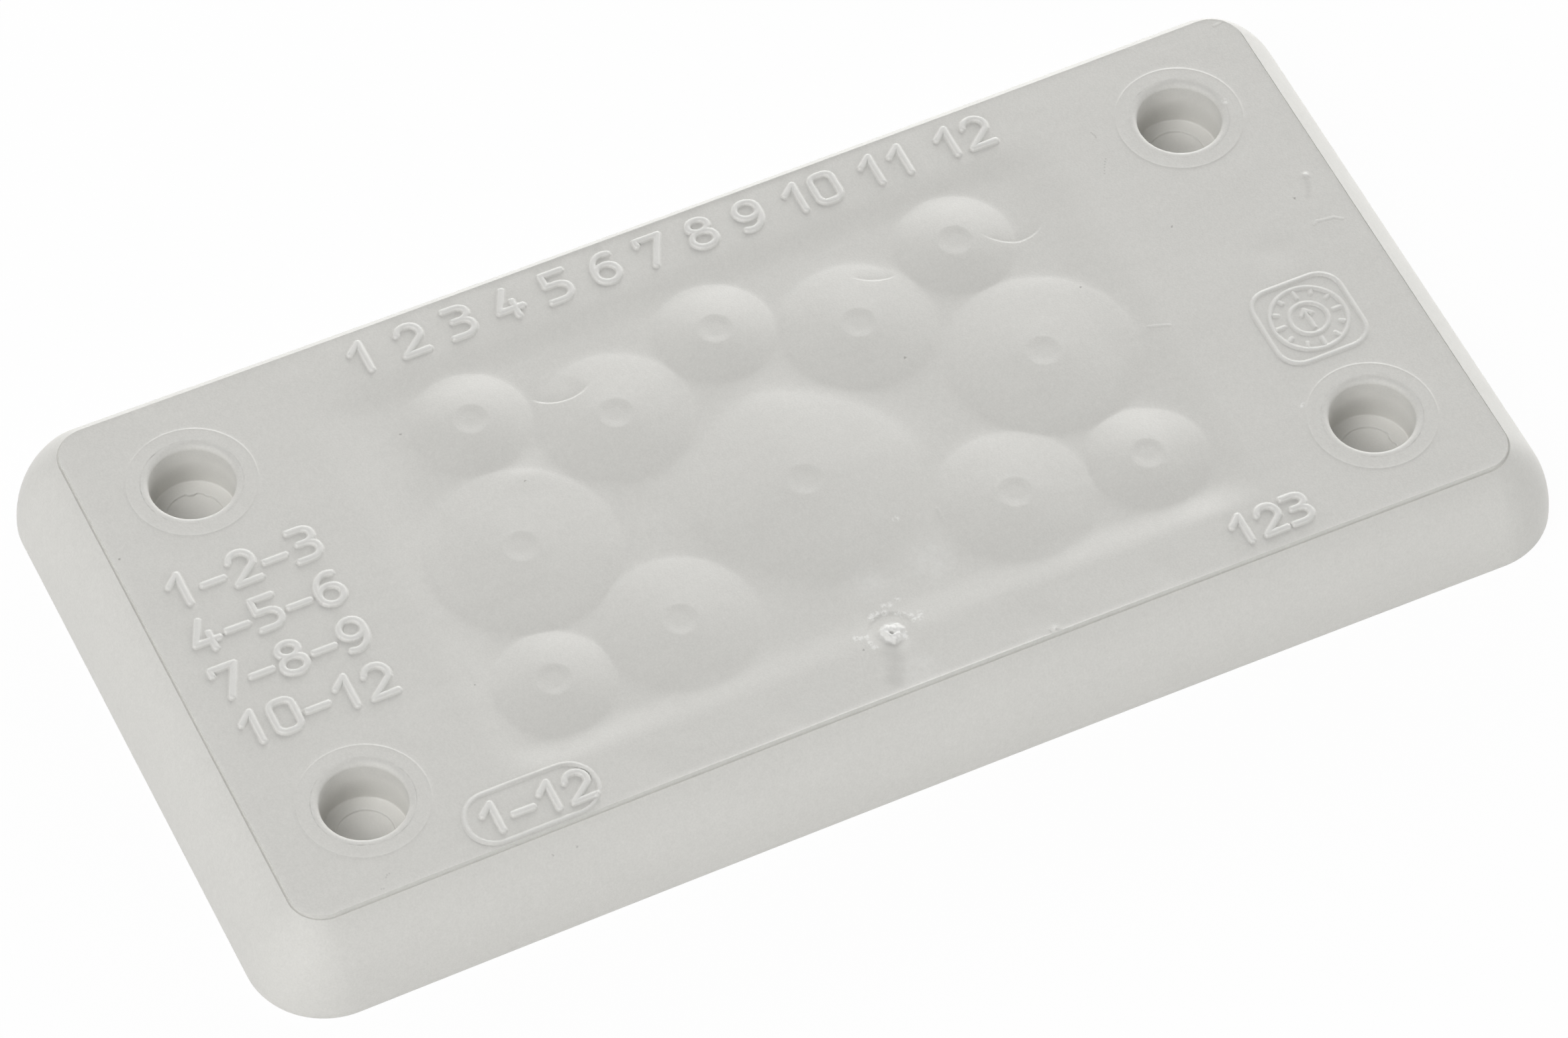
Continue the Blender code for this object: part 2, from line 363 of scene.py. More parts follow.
def rounded_rectangle(half_x, half_y, corner):
    """Points along a rectangle with round corners, counterclockwise, as many for any size."""
    arcs = []
    for quarter, (side_x, side_y) in enumerate(QUARTERS):
        turns = np.linspace(quarter, quarter + 1, CORNER_STEPS + 1) * pi / 2
        arcs.append(around(side_x * (half_x - corner), side_y * (half_y - corner), corner, turns))
    runs = []
    for quarter, arc in enumerate(arcs):
        side = BASE_HALF_X if quarter % 2 == 0 else BASE_HALF_Y
        steps = ceil(2 * side / EDGE_SPACING)
        shares = np.arange(1, steps)[:, None] / steps
        runs += [arc, arc[-1] + (arcs[(quarter + 1) % 4][0] - arc[-1]) * shares]
    return np.concatenate(runs)


def plate_outline(inset):
    """The plate's outline at a distance inwards from its base."""
    return rounded_rectangle(BASE_HALF_X - inset, BASE_HALF_Y - inset, BASE_CORNER - inset)


def wall_outline(spread):
    """The middle of the wall round the domes, moved outwards by a distance."""
    return rounded_rectangle(WALL_HALF_X + spread, WALL_HALF_Y + spread, WALL_CORNER + spread)


def round_turns(sides):
    """Angles that share a full turn equally."""
    return np.arange(sides) * 2 * pi / sides


def circle(centre_x, centre_y, radius, sides):
    """Points round a circle, counterclockwise."""
    return around(centre_x, centre_y, radius, round_turns(sides))


def closed(points):
    """The points of a line, and its first one again at its end."""
    return np.concatenate([points, points[:1]])


# Raised marks, drawn with strokes


def bend(centre_x, centre_y, radius_x, radius_y, start, end, steps=10):
    """Points along an ellipse between two angles in degrees."""
    turns = np.radians(np.linspace(start, end, steps + 1))
    return [(centre_x + radius_x * cos(t), centre_y + radius_y * sin(t)) for t in turns]


def digit_strokes(digit):
    """The lines of a digit in a square of side 1."""
    six = [bend(0.64, 0.5, 0.62, 0.5, 68, 180) + bend(0.5, 0.31, 0.48, 0.31, 180, 540, 24)]
    zero = bend(0.62, 0.78, 0.36, 0.22, 0, 90, 4) + bend(0.38, 0.78, 0.36, 0.22, 90, 180, 4)
    zero += bend(0.38, 0.22, 0.36, 0.22, 180, 270, 4) + bend(0.62, 0.22, 0.36, 0.22, 270, 360, 4)
    three = [(0.06, 1.0), (0.5, 1.0)] + bend(0.5, 0.77, 0.44, 0.23, 80, -90) + [(0.25, 0.54)]
    five = [(0.96, 1.0), (0.08, 1.0), (0.08, 0.57), (0.5, 0.57)]
    five += bend(0.5, 0.285, 0.48, 0.285, 80, -90) + [(0.0, 0.0)]
    return {
        "0": [zero + [(0.98, 0.78)]],
        "1": [[(0.12, 0.7), (0.62, 1.0), (0.62, 0.0)]],
        "2": [bend(0.5, 0.68, 0.48, 0.32, 165, -28) + [(0.0, 0.0), (1.0, 0.0)]],
        "3": [three, bend(0.5, 0.27, 0.48, 0.27, 90, -90) + [(0.0, 0.0)]],
        "4": [[(0.5, 1.0), (0.0, 0.28), (1.0, 0.28)], [(0.68, 0.52), (0.68, 0.0)]],
        "5": [five],
        "6": six,
        "7": [[(0.0, 0.82), (0.0, 1.0), (1.0, 1.0), (0.32, 0.0)]],
        "8": [bend(0.5, 0.77, 0.42, 0.23, 0, 360, 20), bend(0.5, 0.27, 0.5, 0.27, 0, 360, 24)],
        "9": [[(1 - x, 1 - y) for x, y in line] for line in six],
        "-": [[(0.06, 0.38), (0.94, 0.38)]],
    }[digit]


def numbers(text, left, bottom, pitch, space=0.0, size=1.0):
    """A row of digits and dashes that starts at a place, as one group of raised strokes for each."""
    groups = []
    for digit in text:
        if digit == " ":
            left += space
            continue
        lines = []
        for line in digit_strokes(digit):
            across = left + np.array([x for x, _ in line]) * DIGIT_WIDTH * size
            up = bottom + np.array([y for _, y in line]) * DIGIT_HEIGHT * size
            lines.append(np.column_stack([across, up]))
        groups.append((lines, DIGIT_STROKE, DIGIT_RISE))
        left += pitch
    return groups


def rim(centre_x, centre_y, half_x, half_y, corner):
    """A thin raised line round a small rectangle with round corners."""
    points = []
    for quarter, (side_x, side_y) in enumerate(QUARTERS):
        middle_x = centre_x + side_x * (half_x - corner)
        middle_y = centre_y + side_y * (half_y - corner)
        points += bend(middle_x, middle_y, corner, corner, 90 * quarter, 90 * quarter + 90, 8)
    return ([closed(np.array(points))], LINE_STROKE, LINE_RISE)


def dial(centre_x, centre_y):
    """A plain dial: two rings, twelve ticks and a pointer."""
    lines = [closed(circle(centre_x, centre_y, radius, RING_SIDES)) for radius in DIAL_RINGS]
    for hour in range(12):
        inner = SHORT_TICK if hour % 3 else LONG_TICK
        lines.append(around(centre_x, centre_y, np.array([inner, TICK_END]), hour * pi / 6))
    middle = np.array([centre_x, centre_y])
    lines.append(middle + [(0, -POINTER), (0, POINTER)])
    lines.append(middle + [(-BARB_HALF, BARB_START), (0, POINTER), (BARB_HALF, BARB_START)])
    return (lines, LINE_STROKE, LINE_RISE)


def all_strokes():
    """Groups of lines that stand out of the face, with the half width and the rise of each."""
    groups = numbers("1 2 3 4 5 6 7 8 9 10 11 12", left=-26.2, bottom=20.05, pitch=2.45, space=1.6)
    for row, text in enumerate(("1-2-3", "4-5-6", "7-8-9", "10-12")):
        groups += numbers(text, left=-47.1, bottom=5.75 - 4.58 * row, pitch=2.5)
    groups += numbers("1-12", left=-34.4, bottom=-22.7, pitch=2.25, size=0.92)
    groups += numbers("123", left=26.9, bottom=-22.6, pitch=2.3, size=0.9)
    groups += [([np.array(line)], SCRATCH_HALF, SCRATCH_RISE) for line in SCRATCHES]
    groups.append(rim(-30.5, -21.4, half_x=5.15, half_y=2.3, corner=2.2))
    groups.append(rim(DIAL_X, DIAL_Y, half_x=3.7, half_y=3.7, corner=1.8))
    groups.append(dial(DIAL_X, DIAL_Y))
    return groups


STROKES = all_strokes()


def distance_to_lines(x, y, lines):
    """Distance from each place to the nearest of some lines."""
    nearest = np.full(x.shape, np.inf)
    for line in lines:
        for (x0, y0), (x1, y1) in zip(line, line[1:]):
            run_x, run_y = x1 - x0, y1 - y0
            share = ((x - x0) * run_x + (y - y0) * run_y) / (run_x * run_x + run_y * run_y)
            share = np.clip(share, 0, 1)
            nearest = np.minimum(nearest, np.hypot(x - x0 - share * run_x, y - y0 - share * run_y))
    return nearest


def strokes_rise(x, y):
    """How far the strokes stand out: flat along their middle and steep at their sides."""
    rise = np.zeros_like(x)
    for lines, half, top in STROKES:
        ends = np.concatenate(lines)
        low, high = ends.min(axis=0) - half, ends.max(axis=0) + half
        near = (x > low[0]) & (x < high[0]) & (y > low[1]) & (y < high[1])
        gap = distance_to_lines(x[near], y[near], lines) / half
        rise[near] += top * np.clip(1 - gap**3, 0, 1)
    return rise


# Height of the face


def in_field(x, y):
    """1 in the sunken field, 0 outside it, and smooth between them."""
    past_x = (np.abs(x) - FIELD_HALF_X) / FIELD_SLOPE_X
    past_y = (np.abs(y) - FIELD_HALF_Y) / FIELD_SLOPE_Y
    return (1 - smooth_step(-0.5, 0.5, past_x)) * (1 - smooth_step(-0.5, 0.5, past_y))


def field_sink(x, y):
    """Depth of the field, which is greatest in its near corners."""
    nearness = np.clip(0.5 - 0.5 * y / FIELD_HALF_Y, 0, 1)
    return (FIELD_DEPTH + CORNER_DEPTH * nearness * (x / FIELD_HALF_X) ** 2) * in_field(x, y)


def dome_height(share, radius):
    """Height of a dome over its foot, from its middle at share 0 to its edge at share 1."""
    cone, crown, rim_part = DOME_SHARES[radius]
    return DOME_RISE * (cone * (1 - share) + crown * (1 - share**2) + rim_part * (1 - share**8))


def domes_rise(x, y):
    """Domes with a foot, a skirt round it and a dimple on top, blended where they touch."""
    rise = np.zeros_like(x)
    for radius, centre_x, centre_y in DOMES:
        edge = radius - DOME_SHRINK
        foot, fall = DOME_FEET[radius]
        across, up = np.abs(x - centre_x), np.abs(y - centre_y)
        power = WIDEST_POWER if radius == WIDEST_DOME else 2.0
        away = (across**power + up**power) ** (1 / power)
        over = foot + dome_height(np.minimum(away / edge, 1), radius)
        skirt = foot * np.exp(np.minimum(edge - away, 0) / fall)
        dimple = 1 - smooth_step(DIMPLE_RADIUS - DIMPLE_EDGE, DIMPLE_RADIUS, np.hypot(across, up))
        bottom = foot + dome_height(DIMPLE_RADIUS / edge, radius) - DIMPLE_DEPTH
        over += (bottom - over) * dimple
        rise = soft_maximum(rise, np.where(away < edge, over, skirt), DOME_BLEND)
    return rise


def from_screw(x, y):
    """Distance from the axis of the nearest screw hole."""
    return np.hypot(np.abs(x) - SCREW_X, np.abs(y) - SCREW_Y)


def inside_face(x, y):
    """Distance inwards from the face's edge."""
    half_x, half_y = BASE_HALF_X - FACE_INSET, BASE_HALF_Y - FACE_INSET
    return -outside_rectangle(x, y, half_x, half_y, BASE_CORNER - FACE_INSET)


def waviness(x, y):
    """The faint unevenness of a moulded face."""
    waves = np.zeros_like(x)
    for height, along_x, along_y, start in WAVES:
        waves += height * np.sin(along_x * x + along_y * y + start)
    off_edge = smooth_step(*WAVES_FROM_EDGE, inside_face(x, y))
    off_pads = smooth_step(PAD_RADIUS, PAD_RADIUS + WAVES_FROM_PAD, from_screw(x, y))
    return waves * (off_edge * off_pads)


def swellings_rise(x, y):
    """Soft humps and dips."""
    rise = np.zeros_like(x)
    for centre_x, centre_y, half_x, half_y, top in SWELLINGS + [PIMPLE]:
        away = ((x - centre_x) / half_x) ** 2 + ((y - centre_y) / half_y) ** 2
        rise += top * np.exp(-away)
    return rise


def creases_rise(x, y):
    """Each crease drops steeply across its arc and comes back slowly inside it."""
    rise = np.zeros_like(x)
    for centre_x, centre_y, radius, start, end, depth, reach in CREASES:
        within = radius - np.hypot(x - centre_x, y - centre_y)
        bearing = np.degrees(np.arctan2(y - centre_y, x - centre_x)) % 360
        share = (bearing - start) / (end - start)
        fade = smooth_step(0, CREASE_FADE, share) * (1 - smooth_step(1 - CREASE_FADE, 1, share))
        drop = smooth_step(0, CREASE_EDGE, within) * np.exp(-np.maximum(within, 0) / reach)
        rise -= depth * fade * drop
    return rise


def gate_rise(x, y):
    """The stub is ragged, with a pit in its top."""
    across, up = x - GATE_X, y - GATE_Y
    away, turn = np.hypot(across, up), np.arctan2(up, across)
    slope = SEAT_SLOPE + SEAT_SLOPE_GROWTH * (1 - np.sin(turn))
    seat = SEAT_DEPTH * (1 - smooth_step(SEAT_RADIUS - slope, SEAT_RADIUS + SEAT_OUTER, away))
    outline = np.ones_like(turn)
    for share, count, start in STUB_WAVES:
        outline += share * np.sin(count * turn + start)
    stub = 1 - smooth_step(STUB_TOP, 1, away / (STUB_RADIUS * outline))
    tears = TEARS * np.sin(9 * across + 3 * up) * np.sin(7 * up - 4 * across)
    pit = PIT_DEPTH * (1 - smooth_step(*PIT_EDGE, np.hypot(across - PIT_X, up - PIT_Y)))
    return STUB_RISE * stub * (1 + tears) - seat - pit


def face_height(x, y):
    """Level of the face with all that stands on it or sinks into it."""
    inside = inside_face(x, y)
    proud = LIP_LEAST + (1 - LIP_LEAST) * np.clip(1 - (x / LIP_HALF_X) ** 2, 0, None)
    lip = proud * (1 - smooth_step(0, LIP_WIDTH, inside))
    past_pad = (from_screw(x, y) - PAD_RADIUS) / PAD_EDGE
    height = FACE_LEVEL + LIP_RISE * lip + PAD_RISE * (1 - smooth_step(-0.5, 0.5, past_pad))
    height += domes_rise(x, y) - field_sink(x, y)
    height += PAD_RIM * np.exp(-(past_pad**2))
    height += waviness(x, y) + swellings_rise(x, y) + creases_rise(x, y) + gate_rise(x, y)
    return height + strokes_rise(x, y)


# The face as a mesh


def spaced(points, gap):
    """Those of the points that keep a gap to the ones before them."""
    kept = []
    cells = {}
    for x, y in points.tolist():
        column, row = int(x // gap), int(y // gap)
        near = [cells.get((column + i, row + j), ()) for i in (-1, 0, 1) for j in (-1, 0, 1)]
        if all(hypot(x - other[0], y - other[1]) >= gap for cell in near for other in cell):
            kept.append((x, y))
            cells.setdefault((column, row), []).append((x, y))
    return np.array(kept)


def stroke_points():
    """Points in lines along and round the strokes, so that the mesh follows their sides."""
    found = []
    for lines, half, _ in STROKES:
        guides = []
        beside = 1 + STROKE_MARGIN / half
        for line in lines:
            for start, end in zip(line, line[1:]):
                run = end - start
                length = hypot(*run)
                side = np.array([-run[1], run[0]]) / length
                steps = max(1, ceil(length / STROKE_SPACING))
                along = start + run * (np.arange(steps + 1) / steps)[:, None]
                for share in (*ROUND_GUIDES, *SIDE_GUIDES, beside):
                    guides += [(along + side * share * half * way, share) for way in (-1, 1)]
            for corner in line:
                for share in (*ROUND_GUIDES, beside):
                    sides = max(LEAST_SIDES, ceil(2 * pi * half * share / STROKE_SPACING))
                    guides.append((circle(*corner, share * half, sides), share))
        guides.sort(key=lambda guide: abs(guide[1] - 1.0))
        for points, share in guides:
            gap = distance_to_lines(points[:, 0], points[:, 1], lines) / half
            found.append(points[np.abs(gap - share) < GUIDE_SLACK])
    return spaced(np.concatenate(found), CLOSEST)


def ring_points():
    """Points along the edges of domes, dimples, pads, creases, field and face, and over the gate."""
    rings = []
    for radius, x, y in DOMES:
        for shift in (-0.3, -0.1, 0.1, 0.3):
            rings.append(circle(x, y, radius + shift, ceil(2 * pi * radius / RING_SPACING)))
        for share in (1.12, 1.0, 0.85, 0.6, 0.3):
            rings.append(circle(x, y, DIMPLE_RADIUS * share, sides=32))
    for x, y in SCREWS:
        for shift in (-0.5, -0.2, -0.1, 0.0, 0.1, 0.2, 0.5):
            rings.append(circle(x, y, PAD_RADIUS + shift, HOLE_SIDES))
        rings.append(circle(x, y, MOUTH_RADIUS + MOUTH_RING, HOLE_SIDES))
    for x, y, radius, start, end, _, _ in CREASES:
        for inset in (-0.12, 0.0, 0.09, 0.18, 0.27, 0.4, 0.65, 1.0):
            reach = radius - inset
            rings.append(np.array(bend(x, y, reach, reach, start, end, RING_SIDES)))
    rings += [wall_outline(spread) for spread in (-1.6, -0.8, 0.0, 0.8, 1.6)]
    net = lattice(GATE_SPACING)
    rings.append(net[np.hypot(net[:, 0] - GATE_X, net[:, 1] - GATE_Y) < GATE_REACH])
    rings += [circle(*PIMPLE[:2], radius, sides=12) for radius in (0.12, 0.24, 0.36, 0.55)]
    rings += [circle(*place[:2], 0.7 * max(place[2:4]), sides=16) for place in SWELLINGS]
    rings += [plate_outline(FACE_INSET + gap) for gap in (0.09, 0.19, LIP_WIDTH, 0.6)]
    return spaced(np.concatenate(rings), CLOSEST)


def lattice(spacing):
    """Points over the whole plate at the corners of equal triangles."""
    rows = []
    for i, y in enumerate(np.arange(-BASE_HALF_Y, BASE_HALF_Y, spacing * sqrt(3) / 2)):
        x = np.arange(-BASE_HALF_X, BASE_HALF_X, spacing) + (i % 2) * spacing / 2
        rows.append(np.column_stack([x, np.full(len(x), y)]))
    return np.concatenate(rows)


def filling_points(made):
    """Lattice points between those that are made, closer together in the field."""
    tree = KDTree(len(made))
    for i, (x, y) in enumerate(made.tolist()):
        tree.insert((x, y, 0), i)
    tree.balance()
    kept = []
    for spacing, fine in ((COARSE, False), (FINE, True)):
        points = lattice(spacing)
        x, y = points.T
        over = outside_rectangle(x, y, WALL_HALF_X, WALL_HALF_Y, WALL_CORNER)
        points = points[((over < FINE_REACH) == fine) & (inside_face(x, y) > EDGE_CLEAR)]
        kept += [point for point in points.tolist() if tree.find((*point, 0))[2] > 0.5 * spacing]
    return np.array(kept)


def face_skin():
    """The face as corners and triangles, open at the mouths of the screw holes."""
    borders = [plate_outline(FACE_INSET)]
    borders += [circle(x, y, MOUTH_RADIUS, HOLE_SIDES) for x, y in SCREWS]
    inner = np.concatenate([stroke_points(), ring_points()])
    inner = np.concatenate([inner, filling_points(inner)])
    inner = inner[from_screw(*inner.T) > MOUTH_RADIUS + MOUTH_CLEAR]
    corners = [Vector(point) for point in np.concatenate(borders + [inner]).tolist()]
    sides = []
    start = 0
    for border in borders:
        count = len(border)
        sides += [(start + i, start + (i + 1) % count) for i in range(count)]
        start += count
    # Output type 0 gives triangles over everything, so those in the holes are left out after it.
    made = delaunay_2d_cdt(corners, sides, [], 0, PLAN_SLACK)
    plane = np.array([tuple(corner) for corner in made[0]])
    triangles = np.array(made[2])
    middles = plane[triangles].mean(axis=1)
    kept = (from_screw(*middles.T) > MOUTH_RADIUS - MOUTH_SLACK) & (inside_face(*middles.T) > 0)
    return np.column_stack([plane, face_height(*plane.T)]), triangles[kept]


# Body, walls and hollows


def flank_inset(level):
    """How far the flank stands in from the base: one arc, upright at the base."""
    radius = (STEP_LEVEL**2 + FLANK_OVERHANG**2) / (2 * FLANK_OVERHANG)
    return radius - sqrt(radius**2 - level**2)


def at_level(outline, level):
    """The points of an outline at one level, or at one for each."""
    return np.column_stack([outline, np.broadcast_to(level, len(outline))]).tolist()


def join_loops(bm, lower, upper):
    """A band of faces between two loops of corners."""
    count = len(lower)
    for i in range(count):
        j = (i + 1) % count
        bm.faces.new((lower[i], lower[j], upper[j], upper[i]))


def add_loops(bm, loops):
    """Skins loops of as many points each, in order, and gives back their corners."""
    corners = [[bm.verts.new(point) for point in loop] for loop in loops]
    for lower, upper in zip(corners, corners[1:]):
        join_loops(bm, lower, upper)
    return corners


def solid(loops, ring=False):
    """An object with its skin through loops of points: capped at both ends, or closed to a ring."""
    bm = bmesh.new()
    corners = add_loops(bm, loops)
    if ring:
        join_loops(bm, corners[-1], corners[0])
    else:
        bm.faces.new(corners[0])
        bm.faces.new(corners[-1])
    bmesh.ops.recalc_face_normals(bm, faces=bm.faces)
    return object_of(bm, "solid")


def placed(name, data):
    """A new object of the scene, with its mesh, lamp or camera."""
    obj = bpy.data.objects.new(name, data)
    bpy.context.scene.collection.objects.link(obj)
    return obj


def object_of(bm, name):
    mesh = bpy.data.meshes.new(name)
    bm.to_mesh(mesh)
    bm.free()
    return placed(name, mesh)


def column(x, y, profile):
    """A round solid of the underside, from its profile of radii and levels, listed upwards."""
    return solid([at_level(circle(x, y, radius, UNDERSIDE_SIDES), level) for radius, level in profile])


def outer_form():
    """The body under the face: a cushion-shaped flank, a fine groove and a small step up to the face."""
    # The middle of the base's small round lies this far in from the flank and over the base.
    middle = 0.3 * BASE_ROUND
    loops = [at_level(plate_outline(BASE_ROUND), 0), at_level(plate_outline(middle), middle)]
    top = STEP_LEVEL - GROOVE_SINK
    for i in range(FLANK_STEPS + 1):
        level = BASE_ROUND + (top - BASE_ROUND) * sin(i / FLANK_STEPS * pi / 2)
        loops.append(at_level(plate_outline(flank_inset(level)), level))
    start = flank_inset(top)
    for share in GROOVE_BOTTOM:
        inset = start + share * (FACE_INSET - start)
        loops.append(at_level(plate_outline(inset), top - GROOVE_DEPTH))
    for share in np.linspace(0, 1, STEP_STEPS + 1):
        inset = FACE_INSET - STEP_LEAN * (1 - share)
        loops.append(at_level(plate_outline(inset), top + (LIP_TOP - top) * share))
    return solid(loops)


def main_hollow():
    """The room inside the outer wall, which follows the flank."""
    loops = [at_level(plate_outline(OUTER_WALL), -PAST)]
    for i in range(FLANK_STEPS + 1):
        level = CEILING * i / FLANK_STEPS
        loops.append(at_level(plate_outline(OUTER_WALL + flank_inset(level)), level))
    return solid(loops)


def field_wall():
    """The wall round all the domes."""
    inner, outer = wall_outline(-FIELD_WALL / 2), wall_outline(FIELD_WALL / 2)
    section = ((inner, 0), (outer, 0), (outer, WALL_TOP), (inner, WALL_TOP))
    return solid([at_level(*corner) for corner in section], ring=True)


def rib(x, side_y):
    """A rib from the field's wall to the outer wall."""
    outer = BASE_HALF_Y - OUTER_WALL + BITE
    levels = np.linspace(WALL_TOP, INNER_SETBACK, FLANK_STEPS + 1)
    sides = []
    for face_x in (x - RIB_WALL / 2, x + RIB_WALL / 2):
        side = [(face_x, side_y * WALL_HALF_Y, level) for level in (INNER_SETBACK, WALL_TOP)]
        side += [(face_x, side_y * (outer - flank_inset(level)), level) for level in levels]
        sides.append(side)
    return solid(sides)


def cell_bore(radius, x, y):
    """The hollow under a membrane, domed like it."""
    bore = radius - CELL_WALL
    under = FIELD_LEVEL - MEMBRANE_THICKNESS
    profile = [(bore, -PAST)]
    for share in np.linspace(bore / radius, CELL_TOP, CELL_STEPS):
        profile.append((radius * share, under + DOME_FEET[radius][0] + dome_height(share, radius)))
    return column(x, y, profile)


def change(body, operation, tools):
    """Joins solids to the body or cuts them out of it, and then deletes them."""
    group = bpy.data.collections.new("tools")
    for tool in tools:
        group.objects.link(tool)
    modifier = body.modifiers.new(operation, "BOOLEAN")
    modifier.operation = operation
    modifier.operand_type = "COLLECTION"
    modifier.collection = group
    graph = bpy.context.evaluated_depsgraph_get()
    result = bpy.data.meshes.new_from_object(body.evaluated_get(graph))
    body.modifiers.clear()
    body.data = result
    for tool in tools:
        bpy.data.objects.remove(tool)
    bpy.data.collections.remove(group)


def body_below_face():
    """The outer form with its main hollow, walls, ribs, cells and screw bosses."""
    body = outer_form()
    change(body, "DIFFERENCE", [main_hollow()])
    walls = [field_wall()]
    walls += [rib(side_x * x, side_y) for x in RIB_PLACES for side_x in (-1, 1) for side_y in (-1, 1)]
    walls += [column(x, y, [(radius, INNER_SETBACK), (radius, WALL_TOP)]) for radius, x, y in DOMES]
    walls += [column(x, y, [(PAD_RADIUS, 0), (PAD_RADIUS, WALL_TOP)]) for x, y in SCREWS]
    change(body, "UNION", walls)
    shank_top = SCREW_FLOOR - FLOOR_THICKNESS
    holes = [cell_bore(*dome) for dome in DOMES]
    holes += [column(x, y, [(SHANK_RADIUS, -PAST), (SHANK_RADIUS, shank_top)]) for x, y in SCREWS]
    change(body, "DIFFERENCE", holes)
    return body


def fillet(radius, level, size, start, end):
    """Profile points of a quarter round about a place, between two angles in degrees."""
    return bend(radius, level, size, size, start, end, FILLET_STEPS)


def head_recess(x, y):
    """Loops down a screw hole from its mouth: rounded lip, wall, ledge and blind small hole.
    The lip is roundest on one side, and flash narrows the small hole here and there."""
    turns = round_turns(HOLE_SIDES)
    lip = LEAST_ROUND + (MOUTH_ROUND - LEAST_ROUND) * (0.5 + 0.5 * np.cos(turns - ROUNDEST)) ** 2
    loops = [at_level(circle(x, y, MOUTH_RADIUS, HOLE_SIDES), PAD_TOP)]
    for tilt in np.radians(np.linspace(90, 180, MOUTH_STEPS + 1)):
        ring = around(x, y, HEAD_RADIUS + lip * (1 + cos(tilt)), turns)
        loops.append(at_level(ring, PAD_TOP - MOUTH_DROP * lip * (1 - sin(tilt))))
    flash = np.zeros(HOLE_SIDES)
    for side_x, side_y, bearing, half, reach in FLASHES:
        if side_x * x > 0 and side_y * y > 0:
            away = np.abs((turns - radians(bearing) + pi) % (2 * pi) - pi) / radians(half)
            flash += reach * (1 - smooth_step(0.4, 1, away))
    profile = fillet(HEAD_RADIUS - LEDGE_FILLET, LEDGE + LEDGE_FILLET, LEDGE_FILLET, 0, -90)
    profile += fillet(SHANK_RADIUS + SHANK_FILLET, LEDGE - SHANK_FILLET, SHANK_FILLET, 90, 180)
    profile += fillet(SHANK_RADIUS - SHANK_FILLET, SCREW_FLOOR + SHANK_FILLET, SHANK_FILLET, 0, -90)
    profile += [(SHANK_RADIUS * share, SCREW_FLOOR) for share in (0.8, 0.5, 0.2)]
    for radius, level in profile:
        at_rim = level > LEDGE - FLASH_EDGE and radius < SHANK_RADIUS + FLASH_EDGE
        loops.append(at_level(around(x, y, radius - flash * at_rim, turns), level))
    return loops


def bowed(x, y):
    """The long sides are drawn in a little at their middle, as the walls shrink when they cool."""
    bow = EDGE_BOW * max(0, 1 - (x / BOW_HALF_X) ** 2)
    start = (abs(y) - BOW_START) / (BASE_HALF_Y - FACE_INSET - BOW_START)
    return y - (1 if y > 0 else -1) * bow * min(max(start, 0), 1)


def before_bow(x, y):
    """Where points of the face stood along y before its long sides were drawn in."""
    bow = EDGE_BOW * np.clip(1 - (x / BOW_HALF_X) ** 2, 0, None)
    share = bow / (BASE_HALF_Y - FACE_INSET - BOW_START)
    drawn = (np.abs(y) - share * BOW_START) / (1 - share)
    return np.where(np.abs(y) > BOW_START, np.sign(y) * drawn, y)


def read_all(items, name, kind=np.int32, width=1):
    """One property of all items of a mesh, as a plain array. The width is its numbers per item."""
    values = np.zeros(len(items) * width, kind)
    items.foreach_get(name, values)
    return values


def shade_face(mesh):
    """Gives the face the normals of its height, so that small forms shade cleanly."""
    skin = read_all(mesh.attributes["skin"].data, "value")
    sizes = read_all(mesh.polygons, "loop_total")
    corners = read_all(mesh.loops, "vertex_index")
    places = read_all(mesh.vertices, "co", np.float64, 3)
    on_face = np.repeat(skin, sizes) == 1
    used, back = np.unique(corners[on_face], return_inverse=True)
    x, y = places.reshape(-1, 3)[used, :2].T / MM
    y = before_bow(x, y)
    gap = NORMAL_GAP
    lean_x = (face_height(x + gap, y) - face_height(x - gap, y)) / (2 * gap)
    lean_y = (face_height(x, y + gap) - face_height(x, y - gap)) / (2 * gap)
    facing = np.column_stack([-lean_x, -lean_y, np.ones_like(x)])
    facing /= np.linalg.norm(facing, axis=1)[:, None]
    normals = np.zeros((len(corners), 3))
    normals[on_face] = facing[back]
    mesh.attributes.remove(mesh.attributes["skin"])
    mesh.normals_split_custom_set(normals.tolist())


